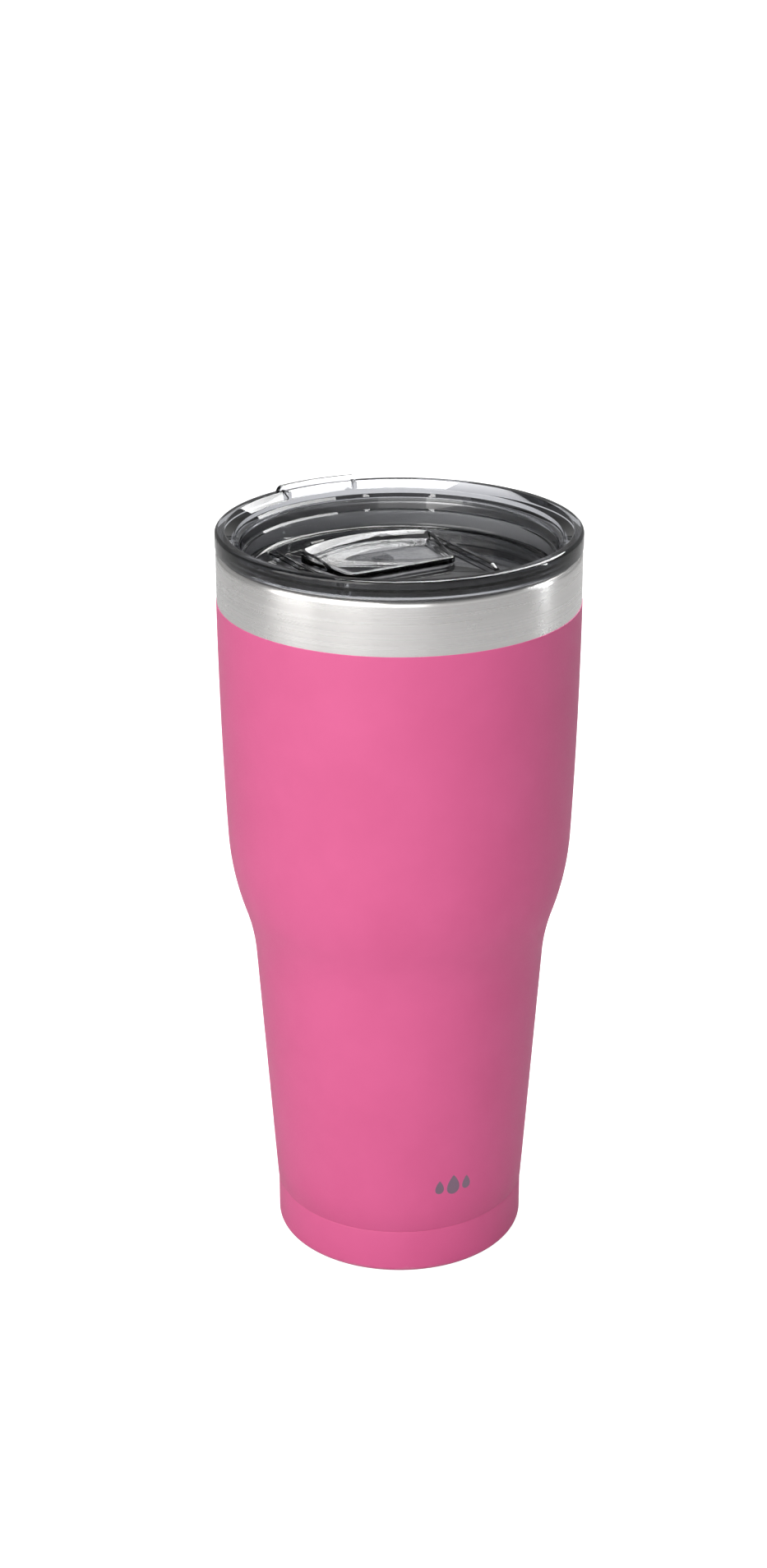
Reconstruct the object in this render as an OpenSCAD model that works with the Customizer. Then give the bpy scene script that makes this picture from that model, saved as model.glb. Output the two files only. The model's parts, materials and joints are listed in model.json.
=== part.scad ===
// Double-walled steel tumbler with a clear press-in lid and a sliding closure.
// Millimetres, +Z up. The origin is the centre of the face it stands on.
// The lid's drinking lip and its slide point along +Y turned by lip_angle.

/* [Cup side, from the base up] */
// Height of the steel cup without its lid
cup_h = 212.2; // [205:0.1:220]
// Height of the seam between the base cup and the tapered side
seam_z = 14.2; // [13:0.1:16]
// Outer radius of the base cup
base_r = 36.7; // [36:0.1:36.9]
// Outer radius of the tapered side at the seam
foot_r = 36.9; // [36.9:0.1:38]
// Lean of the lower side from upright, in degrees
taper_deg = 3.84; // [3:0.1:4.5]
// Height where the side begins to flare
flare_z = 89.4; // [80:0.5:95]
// Radius of the hollow curve under the shoulder
hollow_r = 62.6; // [50:0.5:75]
// Steepest lean of the shoulder, in degrees
shoulder_deg = 18.5; // [16:0.1:20]
// Radius of the rounded curve over the shoulder
round_r = 83; // [70:0.5:95]
// Lean of the side just above the shoulder, in degrees
upper_deg = 2.52; // [2:0.05:3]
// Radius of the long barrel curve of the upper side
barrel_r = 1635; // [1400:5:2400]
// Height of the bare steel band at the mouth
band_h = 15.3; // [10:0.1:25]

/* [Walls] */
// Thickness of the powder coat
coat_t = 0.15; // [0.15:0.01:0.3]
// Thickness of the outer steel
shell_t = 0.8; // [0.6:0.1:1]
// Thickness of the inner steel
liner_t = 0.8; // [0.6:0.1:1]
// Width of the vacuum space
vacuum_gap = 2.45; // [2.2:0.05:3]
// Height of the cup's inner floor
floor_z = 14.8; // [14.6:0.1:16]
// Corner radius of the cup's inner floor
floor_corner_r = 8; // [5:0.5:12]
// Thickness of the reflective foil
foil_t = 0.2; // [0.15:0.01:0.3]

/* [Lid] */
// Height of the lid's flange above the cup's rim
flange_h = 5; // [4.6:0.1:6.5]
// How far the flange stands out past the steel rim
flange_out = 0.12; // [0:0.01:0.5]
// Gap that the lid's flange keeps from the rim
seat_gap = 0.1; // [0.1:0.05:0.3]
// Depth of the dish floor below the flange's top
dish_depth = 12.8; // [11:0.1:13.5]
// Thickness of the dish floor
dish_floor_t = 2; // [1.6:0.1:2.4]
// Depth of the plug below the cup's rim
plug_h = 12.7; // [12.2:0.1:15]
// Wall between the plug's outside and the dish
plug_wall = 2.5; // [2.3:0.1:2.9]
// Direction of the drinking lip, turned from +Y, in degrees
lip_angle = 30; // [0:1:60]
// Width of the raised drinking lip
lip_w = 26; // [20:0.5:30]
// Height of the raised drinking lip
lip_h = 1.5; // [1.2:0.1:3]

/* [Slider] */
// Travel of the slider from open to closed
slide_travel = 13; // [10:0.5:13]
// Radius of the slider's curved edge
slider_edge_r = 38.5; // [37.5:0.1:38.8]
// Half the slider's width across its curved end
slider_wide = 21; // [19:0.5:22]
// Half the slider's width across its straight end
slider_narrow = 17; // [15:0.5:18]
// Distance of the slider's straight edge from the lid's axis
slider_front = 3; // [2:0.5:5]
// Height of the slider's plain edge
slider_h = 1.9; // [1.6:0.1:2.2]
// Height of the thumb wall
thumb_h = 3.5; // [3:0.1:4.5]
// Width of the slot that guides the slider
guide_w = 6; // [5:0.5:8]

/* [Hidden] */
$fn = 96;

arc_steps = 8;               // straight pieces in a small rounding
curve_steps = 14;            // straight pieces in a long curve of the side
wall_t = coat_t + shell_t + vacuum_gap + liner_t;
rim_curl_r = (wall_t - coat_t) / 2;
curl_z = cup_h - rim_curl_r;
band_z = cup_h - band_h;

// The side runs straight, then hollow, then rounded, then along the barrel curve.
flare_r = foot_r + tan(taper_deg) * (flare_z - seam_z);
shoulder_r = flare_r + hollow_r * (cos(taper_deg) - cos(shoulder_deg));
shoulder_z = flare_z + hollow_r * (sin(shoulder_deg) - sin(taper_deg));
upper_r = shoulder_r + round_r * (cos(upper_deg) - cos(shoulder_deg));
upper_z = shoulder_z + round_r * (sin(shoulder_deg) - sin(upper_deg));
rim_r = barrel_point(curl_z)[0];

corner_r = 2;                // outside corner of the base cup
groove_h = 0.4;              // seam groove between base cup and side
foot_ring_r = 29;            // inner edge of the ring that the cup stands on
recess_h = 1.6;              // lift of the base cup's middle
weld_h = 4;                  // overlap of the vacuum base inside the side
vacuum_base_z = 9;
liner_joint_z = 28;          // weld between liner and liner bottom
dimple_r = 5;
dimple_h = 2;
port_r = 0.8;                // evacuation hole
glass_r = 2.4;               // glass drop that seals the hole
getter_x = 18;
getter_r = 4.4;
getter_h = 2;
clip_t = 0.4;

mouth_r = rim_r - wall_t;    // inner radius of the liner at the mouth
flange_r = rim_r - coat_t + flange_out;
flange_z = cup_h + seat_gap;
lid_top = flange_z + flange_h;
dish_z = lid_top - dish_depth;
dish_under_z = dish_z - dish_floor_t;
plug_r = mouth_r - 1.35;
plug_low_z = cup_h - plug_h;
groove_depth = 1.2;          // gasket groove in the plug
groove_low_z = plug_low_z + 4.3;
groove_top_z = groove_low_z + 5;
dish_r = plug_r - plug_wall;
fin_r = mouth_r - 0.15;      // gasket fins, just clear of the liner
top_ring_w = 2.7;            // flat ring on top of the flange
funnel_w = 2.8;              // cone inside it, that leads spills to the dish
funnel_h = 2;
lip_t = 1.7;
end_rib_w = 1.1;

slide_gap = 0.3;             // between slider and lid
plate_z = dish_z + slide_gap;
rim_w = 1.3;                 // slider's raised border
thumb_w = 2.4;
seal_pocket_h = 0.6;
stem_v = 9.4;                // stem's place along the slide
stem_len = 4.4;
stem_w = guide_w - 2 * slide_gap;
keeper_t = 2;
keeper_top = dish_under_z - slide_gap;
sip_in_r = 30;
sip_out_r = 36.4;
sip_half_deg = 12;
vent_r = 1.5;
rail_u = slider_wide + 1.6;  // guide rails beside the slider
rail_w = 1.4;
rail_h = 1.6;

steel = [0.78, 0.77, 0.76];
pink = [0.93, 0.42, 0.63];
smoke = [0.32, 0.33, 0.35, 0.6];
silicone = [0.78, 0.79, 0.8];

// Points along a round stretch from angle a1 to a2
function arc(centre, r, a1, a2, n = arc_steps) =
    [for (i = [0:n]) centre + r * [cos(a1 + (a2 - a1) * i / n), sin(a1 + (a2 - a1) * i / n)]];

// A point of the barrel curve at height z, as radius, height and lean
function barrel_point(z) =
    let (lean = asin(sin(upper_deg) - (z - upper_z) / barrel_r))
    [upper_r + barrel_r * (cos(lean) - cos(upper_deg)), z, lean];

// Stations of the side from height z up to the rim's curl, each radius, height and lean
function stations(z) = concat(
    [[foot_r + tan(taper_deg) * (z - seam_z), z, taper_deg]],
    [for (i = [0:curve_steps])
        let (a = taper_deg + (shoulder_deg - taper_deg) * i / curve_steps)
        [flare_r + hollow_r * (cos(taper_deg) - cos(a)),
         flare_z + hollow_r * (sin(a) - sin(taper_deg)), a]],
    [for (i = [1:curve_steps])
        let (a = shoulder_deg + (upper_deg - shoulder_deg) * i / curve_steps)
        [shoulder_r + round_r * (cos(a) - cos(shoulder_deg)),
         shoulder_z + round_r * (sin(shoulder_deg) - sin(a)), a]],
    [for (i = [1:arc_steps - 1]) barrel_point(upper_z + (curl_z - upper_z) * i / arc_steps)],
    [[rim_r, curl_z, 0]]);

// The side's outline moved inwards by depth
function side(depth, z = seam_z) =
    [for (s = stations(z)) [s[0] - depth * cos(s[2]), s[1] + depth * sin(s[2])]];

function reversed(points) = [for (i = [len(points) - 1:-1:0]) points[i]];

// Corners of an outline cut round, each corner given as [point, radius]
function rounded(corners) = [
    for (i = [0:len(corners) - 1])
        let (n = len(corners),
             p = corners[i][0],
             r = corners[i][1],
             a = unit(corners[(i + n - 1) % n][0] - p),
             b = unit(corners[(i + 1) % n][0] - p),
             half = acos(a * b) / 2,
             centre = p + unit(a + b) * r / sin(half),
             a1 = heading(p + a * r / tan(half) - centre),
             turn = heading(p + b * r / tan(half) - centre) - a1,
             sweep = turn > 180 ? turn - 360 : turn < -180 ? turn + 360 : turn)
        each (r == 0 ? [p] : arc(centre, r, a1, a1 + sweep, 6))];
function unit(v) = v / norm(v);
function heading(v) = atan2(v[1], v[0]);

module slab(z1, z2) {
    translate([0, z1])
        square([2 * rim_r, z2 - z1]);
}

module towards_lip() {
    rotate([0, 0, lip_angle])
        children();
}

// A ring of the side between two depths and two heights
module side_ring(depth_out, depth_in, z1, z2) {
    rotate_extrude()
        intersection() {
            polygon(concat(side(depth_out), reversed(side(depth_in))));
            slab(z1, z2);
        }
}

// ---- Cup ----

module outer_shell() {
    mid_r = rim_r - coat_t - rim_curl_r;
    color(steel)
        rotate_extrude()
            polygon(concat(
                side(coat_t),
                arc([mid_r, curl_z], rim_curl_r, 0, 90),
                arc([mid_r, curl_z], rim_curl_r - shell_t, 90, 0),
                reversed(side(coat_t + shell_t))));
}

module inner_liner() {
    mid_r = rim_r - wall_t + rim_curl_r;
    color(steel)
        rotate_extrude()
            intersection() {
                polygon(concat(
                    side(wall_t),
                    arc([mid_r, curl_z], rim_curl_r, 180, 90),
                    arc([mid_r, curl_z], rim_curl_r - liner_t, 90, 180),
                    reversed(side(wall_t - liner_t))));
                slab(liner_joint_z, cup_h);
            }
}

// Drawn cap that closes the liner, with a round corner
module liner_bottom() {
    in_r = liner_radius(wall_t);
    out_r = liner_radius(wall_t - liner_t);
    under_z = floor_z - liner_t;
    corner_z = floor_z + floor_corner_r;
    out_corner_r = floor_corner_r + liner_t;
    color(steel)
        rotate_extrude()
            polygon(concat(
                [[0, under_z]],
                arc([out_r - out_corner_r, corner_z], out_corner_r, -90, 0, curve_steps),
                [[liner_joint_radius(wall_t - liner_t), liner_joint_z],
                 [liner_joint_radius(wall_t), liner_joint_z]],
                arc([in_r - floor_corner_r, corner_z], floor_corner_r, 0, -90, curve_steps),
                [[0, floor_z]]));
}

// Radius at a depth inside the tapered side, where the floor's corner ends and at the joint
function taper_radius(depth, z) = foot_r + tan(taper_deg) * (z - seam_z) - depth / cos(taper_deg);
function liner_radius(depth) = taper_radius(depth, floor_z + floor_corner_r);
function liner_joint_radius(depth) = taper_radius(depth, liner_joint_z);

module foil_wrap() {
    color([0.85, 0.86, 0.88])
        side_ring(wall_t - liner_t - 2 * foil_t, wall_t - liner_t - foil_t, 32, band_z);
}

// Stamped cup that stands on a flat ring, its middle lifted
module base_cup() {
    out_r = base_r - coat_t;
    in_r = out_r - shell_t;
    top_z = seam_z - groove_h;
    color(steel)
        rotate_extrude()
            polygon(concat(
                [[0, recess_h], [foot_ring_r - recess_h, recess_h], [foot_ring_r, 0]],
                arc([out_r - corner_r, corner_r], corner_r, -90, 0),
                [[out_r, top_z], [in_r, top_z]],
                arc([out_r - corner_r, corner_r], corner_r - shell_t, 0, -90),
                [[foot_ring_r + shell_t / 2, shell_t],
                 [foot_ring_r + shell_t / 2 - recess_h, recess_h + shell_t],
                 [0, recess_h + shell_t]]));
}

// Thin pink skin over the base cup and the side, with the seam groove sunk into it
module powder_coat() {
    corner = [base_r - coat_t - corner_r, corner_r];
    outside = [for (p = side(0)) if (p[1] < band_z) p];
    inside = [for (p = side(coat_t)) if (p[1] < band_z) p];
    groove_low = seam_z - groove_h;
    color(pink)
        rotate_extrude()
            polygon(concat(
                arc(corner, corner_r + coat_t, -50, 0),
                [[base_r, groove_low - coat_t],
                 [base_r - 0.7 * coat_t, groove_low]],
                [[foot_r - 0.7 * coat_t, seam_z]],
                [for (i = [1:len(outside) - 1]) outside[i]],
                [side_at(0, band_z), side_at(coat_t, band_z)],
                [for (i = [len(inside) - 1:-1:1]) inside[i]],
                [side(coat_t)[0], [base_r - coat_t, groove_low]],
                arc(corner, corner_r, 0, -50)));
}

// The barrel curve's point at height z, moved inwards by depth
function side_at(depth, z) = let (s = barrel_point(z)) [s[0] - depth * cos(s[2]), z];

// Pressed plate that closes the vacuum space, dimpled round the evacuation hole
module vacuum_base() {
    out_r = base_r - coat_t - shell_t;
    top_z = vacuum_base_z + shell_t;
    flange_top = seam_z + weld_h;
    color(steel)
        rotate_extrude()
            polygon(concat(
                [[port_r, vacuum_base_z - dimple_h], [dimple_r - 1, vacuum_base_z - dimple_h],
                 [dimple_r, vacuum_base_z]],
                arc([out_r - corner_r, vacuum_base_z + corner_r], corner_r, -90, 0),
                [[out_r, seam_z],
                 [taper_radius(coat_t + shell_t, seam_z), seam_z],
                 [taper_radius(coat_t + shell_t, flange_top), flange_top],
                 [taper_radius(coat_t + 2 * shell_t, flange_top), flange_top],
                 [out_r - shell_t, seam_z]],
                arc([out_r - corner_r, vacuum_base_z + corner_r], corner_r - shell_t, 0, -90),
                [[dimple_r - shell_t / 2, top_z],
                 [dimple_r - 1 - shell_t / 2, top_z - dimple_h],
                 [port_r, top_z - dimple_h]]));
}

// Glass that ran into the evacuation hole and closed it
module seal_bead() {
    under_z = vacuum_base_z - dimple_h;
    color([0.35, 0.5, 0.4])
        union() {
            translate([0, 0, under_z])
                cylinder(h = shell_t, r = port_r);
            intersection() {
                translate([0, 0, under_z])
                    sphere(glass_r);
                translate([0, 0, under_z - glass_r])
                    cylinder(h = glass_r, r = 2 * glass_r);
            }
        }
}

module getter_clip() {
    seat_z = vacuum_base_z + shell_t;
    color([0.6, 0.6, 0.6])
        translate([getter_x, 0, seat_z])
            difference() {
                cylinder(h = getter_h, r = getter_r + clip_t);
                translate([0, 0, clip_t])
                    cylinder(h = getter_h, r = getter_r);
            }
}

module getter_pellet() {
    color([0.25, 0.25, 0.27])
        translate([getter_x, 0, vacuum_base_z + shell_t + clip_t])
            cylinder(h = getter_h, r = getter_r);
}

// ---- Lid ----

// Turned outline of the lid: flange with a funnel inside it, stepped dish, floor, and plug with its groove
module lid_outline() {
    edge_r = 1;
    fillet_r = 1.6;
    funnel_r = flange_r - top_ring_w - funnel_w;
    upper_dish_r = dish_r + 0.9;
    shoulder_z = lid_top - 4.2;
    step_z = groove_top_z + 0.3;
    polygon(concat(
        [[0, dish_under_z], [plug_r - plug_wall, dish_under_z],
         [plug_r - plug_wall + 0.3, plug_low_z],
         [plug_r - 0.6, plug_low_z], [plug_r, plug_low_z + 0.6],
         [plug_r, groove_low_z], [plug_r - groove_depth, groove_low_z],
         [plug_r - groove_depth, groove_top_z], [plug_r, groove_top_z],
         [plug_r, flange_z - 0.8], [plug_r + 0.8, flange_z],
         [flange_r - 0.3, flange_z]],
        arc([flange_r - edge_r, lid_top - edge_r], edge_r, 0, 90),
        [[flange_r - top_ring_w, lid_top], [funnel_r, lid_top - funnel_h],
         [funnel_r - 0.1, shoulder_z + 0.9], [upper_dish_r + 0.5, shoulder_z],
         [upper_dish_r, step_z + 0.7], [dish_r + 0.1, step_z]],
        arc([dish_r - fillet_r, dish_z + fillet_r], fillet_r, 0, -90),
        [[0, dish_z]]));
}

// Curved drinking opening with round ends
module sip_opening() {
    mid_r = (sip_in_r + sip_out_r) / 2;
    end_r = (sip_out_r - sip_in_r) / 2;
    far = 2 * sip_out_r;
    intersection() {
        difference() {
            circle(sip_out_r);
            circle(sip_in_r);
        }
        polygon([[0, 0], far * [-sin(sip_half_deg), cos(sip_half_deg)],
                 far * [sin(sip_half_deg), cos(sip_half_deg)]]);
    }
    for (side = [-1, 1])
        rotate(side * sip_half_deg)
            translate([0, mid_r])
                circle(end_r);
}

// Slot that the slider's stem runs in
module guide_slot() {
    start = stem_v - stem_len / 2 - slide_gap;
    end = stem_v + stem_len / 2 + slide_gap + slide_travel;
    translate([-guide_w / 2, start])
        square([guide_w, end - start]);
}

// Raised lip to drink from, round at its ends
module drinking_lip() {
    intersection() {
        rotate_extrude()
            polygon(concat(
                [[flange_r - lip_t - 0.3, lid_top - 0.5], [flange_r - 0.3, lid_top - 0.5]],
                arc([flange_r - 0.3 - lip_t / 2, lid_top + lip_h - lip_t / 2], lip_t / 2, 0, 180)));
        rotate([90, 0, 0])
            translate([0, 0, -2 * flange_r])
                linear_extrude(2 * flange_r)
                    polygon(rounded([
                        [[-lip_w / 2, lid_top - 0.5], 0], [[lip_w / 2, lid_top - 0.5], 0],
                        [[lip_w / 2, lid_top + lip_h], 1.2], [[-lip_w / 2, lid_top + lip_h], 1.2]]));
    }
}

// Low ribs across the flange at the two ends of the lip
module lip_end_ribs() {
    turn = asin((lip_w / 2 - end_rib_w) / flange_r);
    rib_h = 0.35;
    rib_out = 1.1;
    rib_len = top_ring_w + funnel_w - rib_out - 0.2;
    rib_depth = funnel_h + 0.5;
    for (side = [-1, 1])
        rotate([0, 0, side * turn])
            translate([-end_rib_w / 2, flange_r - rib_out - rib_len, lid_top - rib_depth])
                cube([end_rib_w, rib_len, rib_depth + rib_h]);
}

// Two rails on the dish floor, with ramped ends, that guide the slider's sides
module guide_rails() {
    ramp = 4;
    from = -15;
    to = sqrt(pow(dish_r - 2.4, 2) - pow(rail_u + rail_w, 2));
    for (side = [-1, 1])
        translate([side * (rail_u + rail_w / 2) + rail_w / 2, 0, dish_z])
            rotate([90, 0, -90])
                linear_extrude(rail_w)
                    polygon([[-to, -0.5], [-from, -0.5], [-from, 0], [-from - ramp, rail_h],
                             [-to + ramp, rail_h], [-to, 0]]);
}

module lid_body() {
    vent_at = [-6, -10];
    color(smoke)
        towards_lip()
            union() {
                difference() {
                    rotate_extrude()
                        lid_outline();
                    translate([0, 0, dish_under_z - 1])
                        linear_extrude(dish_floor_t + 2) {
                            sip_opening();
                            guide_slot();
                            translate(vent_at)
                                circle(vent_r);
                        }
                }
                drinking_lip();
                lip_end_ribs();
                guide_rails();
            }
}

// Soft ring with two fins, in the plug's groove
module lid_gasket() {
    seat_r = plug_r - groove_depth;
    body_r = plug_r - 0.1;
    fin_t = 0.5;
    color(silicone)
        rotate_extrude()
            polygon(concat(
                [[seat_r, groove_low_z], [body_r, groove_low_z]],
                fin_points(groove_low_z + 0.7, body_r, fin_t),
                fin_points(groove_low_z + 3.0, body_r, fin_t),
                [[body_r, groove_top_z], [seat_r, groove_top_z]]));
}

// One fin that leans up and outwards from height z
function fin_points(z, root_r, t) =
    [[root_r, z], [fin_r, z + 0.7], [fin_r, z + 0.7 + t], [root_r, z + 2 * t]];

// ---- Slider ----

// The slider's outline seen from above, moved inwards by inset
function slider_points(inset = 0, corner = 3) =
    let (edge = slider_edge_r - inset,
         wide = slider_wide - inset,
         kink = sqrt(edge * edge - wide * wide) - slide_travel,
         narrow = slider_narrow - inset,
         half_deg = acos((kink + slide_travel) / edge),
         back = [for (i = [1:curve_steps - 1])
                     let (a = half_deg * (1 - 2 * i / curve_steps))
                     [[edge * sin(a), edge * cos(a) - slide_travel], 0]])
    rounded(concat(
        [[[-narrow, inset - slider_front], corner], [[narrow, inset - slider_front], corner],
         [[wide, kink], min(corner, 2)]],
        back,
        [[[-wide, kink], min(corner, 2)]]));

// Height of the slider's border seen from the side: low in front, rising to the thumb wall
module border_side_view() {
    ramp_from = 4;
    ramp_to = 17;
    far = slider_edge_r;
    top = plate_z + slider_h;
    rise = thumb_h - slider_h;
    polygon(concat(
        [[-far, plate_z], [-far, top]],
        [for (i = [0:curve_steps])
            [ramp_from + (ramp_to - ramp_from) * i / curve_steps,
             top + rise * (1 - cos(180 * i / curve_steps)) / 2]],
        [[far, plate_z + thumb_h], [far, plate_z]]));
}

module slider_border() {
    intersection() {
        translate([0, 0, plate_z])
            linear_extrude(thumb_h)
                difference() {
                    polygon(slider_points());
                    intersection() {
                        polygon(slider_points(rim_w, 2.4));
                        translate([-slider_wide, -slider_edge_r])
                            square([2 * slider_wide, slider_edge_r + pocket_back()]);
                    }
                }
        rotate([90, 0, 90])
            translate([0, 0, -2 * slider_wide])
                linear_extrude(4 * slider_wide)
                    border_side_view();
    }
}

// Where the thumb wall's inner face stands at the slider's middle
function pocket_back() = slider_edge_r - slide_travel - thumb_w;

module slider_body() {
    floor_t = 1.1;
    step_h = 0.4;
    color(smoke)
        towards_lip()
            union() {
                difference() {
                    union() {
                        slider_border();
                        translate([0, 0, plate_z])
                            linear_extrude(floor_t)
                                polygon(slider_points());
                    }
                    translate([0, 0, plate_z - 1])
                        linear_extrude(1 + seal_pocket_h)
                            seal_outline();
                }
                translate([0, 0, plate_z + floor_t])
                    linear_extrude(step_h)
                        difference() {
                            polygon(slider_points(rim_w - 0.2, 2.6));
                            polygon(slider_points(2 * rim_w, 2));
                        }
                slider_stem();
            }
}

// Stem that passes through the slot, with a wider foot under the keeper
module slider_stem() {
    foot_h = 1;
    foot_out = 0.5;
    low_z = keeper_top - keeper_t;
    translate([-stem_w / 2, stem_v - stem_len / 2, low_z])
        cube([stem_w, stem_len, plate_z - low_z]);
    translate([-stem_w / 2 - foot_out, stem_v - stem_len / 2, low_z - foot_h])
        cube([stem_w + 2 * foot_out, stem_len, foot_h]);
}

// Pad that covers the drinking opening when the slider is closed, kept inside the slider's edge
module seal_outline() {
    mid_v = (sip_in_r + sip_out_r) / 2 - slide_travel;
    half_w = sip_out_r * sin(sip_half_deg) + 5;
    half_l = (sip_out_r - sip_in_r) / 2 + 1.3;
    intersection() {
        polygon(rounded([
            [[-half_w, mid_v - half_l - 1], 2], [[half_w, mid_v - half_l - 1], 2],
            [[half_w, mid_v + half_l + 1], 2], [[-half_w, mid_v + half_l + 1], 2]]));
        polygon(slider_points(0.9));
    }
}

module slider_seal() {
    pad_gap = 0.1;
    color(silicone)
        towards_lip()
            translate([0, 0, dish_z + pad_gap])
                linear_extrude(slide_gap - pad_gap + seal_pocket_h)
                    seal_outline();
}

// Plate clipped on the stem under the dish floor
module slider_keeper() {
    half_u = 8;
    half_v = 5;
    color(smoke)
        towards_lip()
            translate([0, stem_v, keeper_top - keeper_t])
                linear_extrude(keeper_t)
                    difference() {
                        polygon(rounded([
                            [[-half_u, -half_v], 2], [[half_u, -half_v], 2],
                            [[half_u, half_v], 2], [[-half_u, half_v], 2]]));
                        square([stem_w, stem_len], center = true);
                    }
}

outer_shell();
base_cup();
powder_coat();
inner_liner();
liner_bottom();
foil_wrap();
vacuum_base();
seal_bead();
getter_clip();
getter_pellet();
lid_body();
lid_gasket();
slider_body();
slider_seal();
slider_keeper();
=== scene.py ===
import json
import math

import bpy
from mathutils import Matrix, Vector


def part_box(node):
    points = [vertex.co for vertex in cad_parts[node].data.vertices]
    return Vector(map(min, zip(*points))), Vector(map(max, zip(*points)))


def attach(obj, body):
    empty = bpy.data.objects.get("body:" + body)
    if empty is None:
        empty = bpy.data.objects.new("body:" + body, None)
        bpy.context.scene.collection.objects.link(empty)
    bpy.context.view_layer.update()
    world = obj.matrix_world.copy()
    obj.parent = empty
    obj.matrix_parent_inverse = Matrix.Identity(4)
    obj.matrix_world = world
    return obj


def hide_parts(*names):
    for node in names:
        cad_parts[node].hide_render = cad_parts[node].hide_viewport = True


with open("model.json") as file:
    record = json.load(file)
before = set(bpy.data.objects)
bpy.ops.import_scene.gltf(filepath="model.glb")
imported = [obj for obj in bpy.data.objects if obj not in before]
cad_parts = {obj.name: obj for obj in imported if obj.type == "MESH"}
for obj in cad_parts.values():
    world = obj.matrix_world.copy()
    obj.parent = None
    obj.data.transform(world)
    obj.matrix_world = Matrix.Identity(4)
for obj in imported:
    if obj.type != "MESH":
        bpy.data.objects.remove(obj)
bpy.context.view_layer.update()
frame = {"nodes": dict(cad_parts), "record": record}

mm = 0.001
joints = {j["name"]: j for j in frame["record"]["behaviour"]["joints"]}
slideAxis = Vector(joints["slider_slide"]["axis"])
slideTravel = joints["slider_slide"]["range_m"][1] / mm


def low(node):
    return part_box(node)[0] / mm


def high(node):
    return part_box(node)[1] / mm


print("frame loaded")

# ---- outlines, in mm ----


def arc(x, y, r, fromDeg, toDeg, steps=6):
    turns = [math.radians(fromDeg + (toDeg - fromDeg) * i / steps) for i in range(steps + 1)]
    return [(x + r * math.cos(t), y + r * math.sin(t)) for t in turns]


def roundCorners(corners, steps=5, closed=True):
    # every corner is (x, y, radius); an open line keeps its two ends sharp
    points = []
    for i, (x, y, r) in enumerate(corners):
        if r == 0 or (not closed and i in (0, len(corners) - 1)):
            points.append((x, y))
            continue
        here = Vector((x, y))
        before = (Vector(corners[i - 1][:2]) - here).normalized()
        after = (Vector(corners[(i + 1) % len(corners)][:2]) - here).normalized()
        half = before.angle(after) / 2
        centre = here + (before + after).normalized() * r / math.sin(half)
        start = here + before * r / math.tan(half) - centre
        end = here + after * r / math.tan(half) - centre
        startDeg = math.degrees(math.atan2(start.y, start.x))
        sweep = (math.degrees(math.atan2(end.y, end.x)) - startDeg + 180) % 360 - 180
        points += arc(centre.x, centre.y, r, startDeg, startDeg + sweep, steps)
    return points


def turned(points):
    return [(r, 0, z) for r, z in points]


def lidPoint(u, v, z):
    # the lid's own axes: v runs along the slide, u to its right
    return (u * slideAxis.y + v * slideAxis.x, -u * slideAxis.x + v * slideAxis.y, z)


def flatRing(points, z):
    return [lidPoint(u, v, z) for u, v in points]


# ---- modelling steps ----


def clearSelection():
    if bpy.context.object and bpy.context.object.mode != "OBJECT":
        bpy.ops.object.mode_set(mode="OBJECT")
    bpy.ops.object.select_all(action="DESELECT")


def pick(*pieces):
    clearSelection()
    for piece in pieces:
        piece.select_set(True)
    bpy.context.view_layer.objects.active = pieces[0]


def editAll(piece):
    pick(piece)
    bpy.ops.object.mode_set(mode="EDIT")
    bpy.ops.mesh.select_mode(type="VERT")
    bpy.ops.mesh.select_all(action="SELECT")


def leaveEdit():
    bpy.ops.object.mode_set(mode="OBJECT")


def selectEnds(piece, first, last):
    for spot in piece.data.vertices:
        spot.select = min((spot.co - Vector(first)).length, (spot.co - Vector(last)).length) < 1e-6


def drawOutline(name, points, closed=True):
    # one vertex is extruded from point to point
    spots = [Vector(p) * mm for p in points]
    clearSelection()
    bpy.ops.mesh.primitive_plane_add(size=mm, location=spots[0])
    piece = bpy.context.object
    piece.name = name
    piece.data.name = name
    bpy.ops.object.transform_apply(location=True, rotation=True, scale=True)
    editAll(piece)
    bpy.ops.mesh.merge(type="CENTER")
    for here, there in zip(spots, spots[1:]):
        bpy.ops.mesh.extrude_vertices_move(TRANSFORM_OT_translate={"value": there - here})
    leaveEdit()
    if closed:
        bpy.ops.object.mode_set(mode="EDIT")
        bpy.ops.mesh.select_all(action="DESELECT")
        leaveEdit()
        selectEnds(piece, spots[0], spots[-1])
        bpy.ops.object.mode_set(mode="EDIT")
        bpy.ops.mesh.edge_face_add()
        leaveEdit()
    return piece


def tidyShell(piece):
    editAll(piece)
    bpy.ops.mesh.remove_doubles(threshold=0.002 * mm)
    bpy.ops.mesh.select_all(action="SELECT")
    bpy.ops.mesh.normals_make_consistent(inside=False)
    leaveEdit()


def turnPiece(name, points, closed=True, steps=192):
    piece = drawOutline(name, turned(points), closed)
    editAll(piece)
    bpy.ops.mesh.spin(steps=steps, angle=math.tau, center=(0, 0, 0), axis=(0, 0, 1))
    leaveEdit()
    tidyShell(piece)
    return piece


def copyPiece(piece):
    twin = piece.copy()
    twin.data = piece.data.copy()
    bpy.context.scene.collection.objects.link(twin)
    return twin


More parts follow.
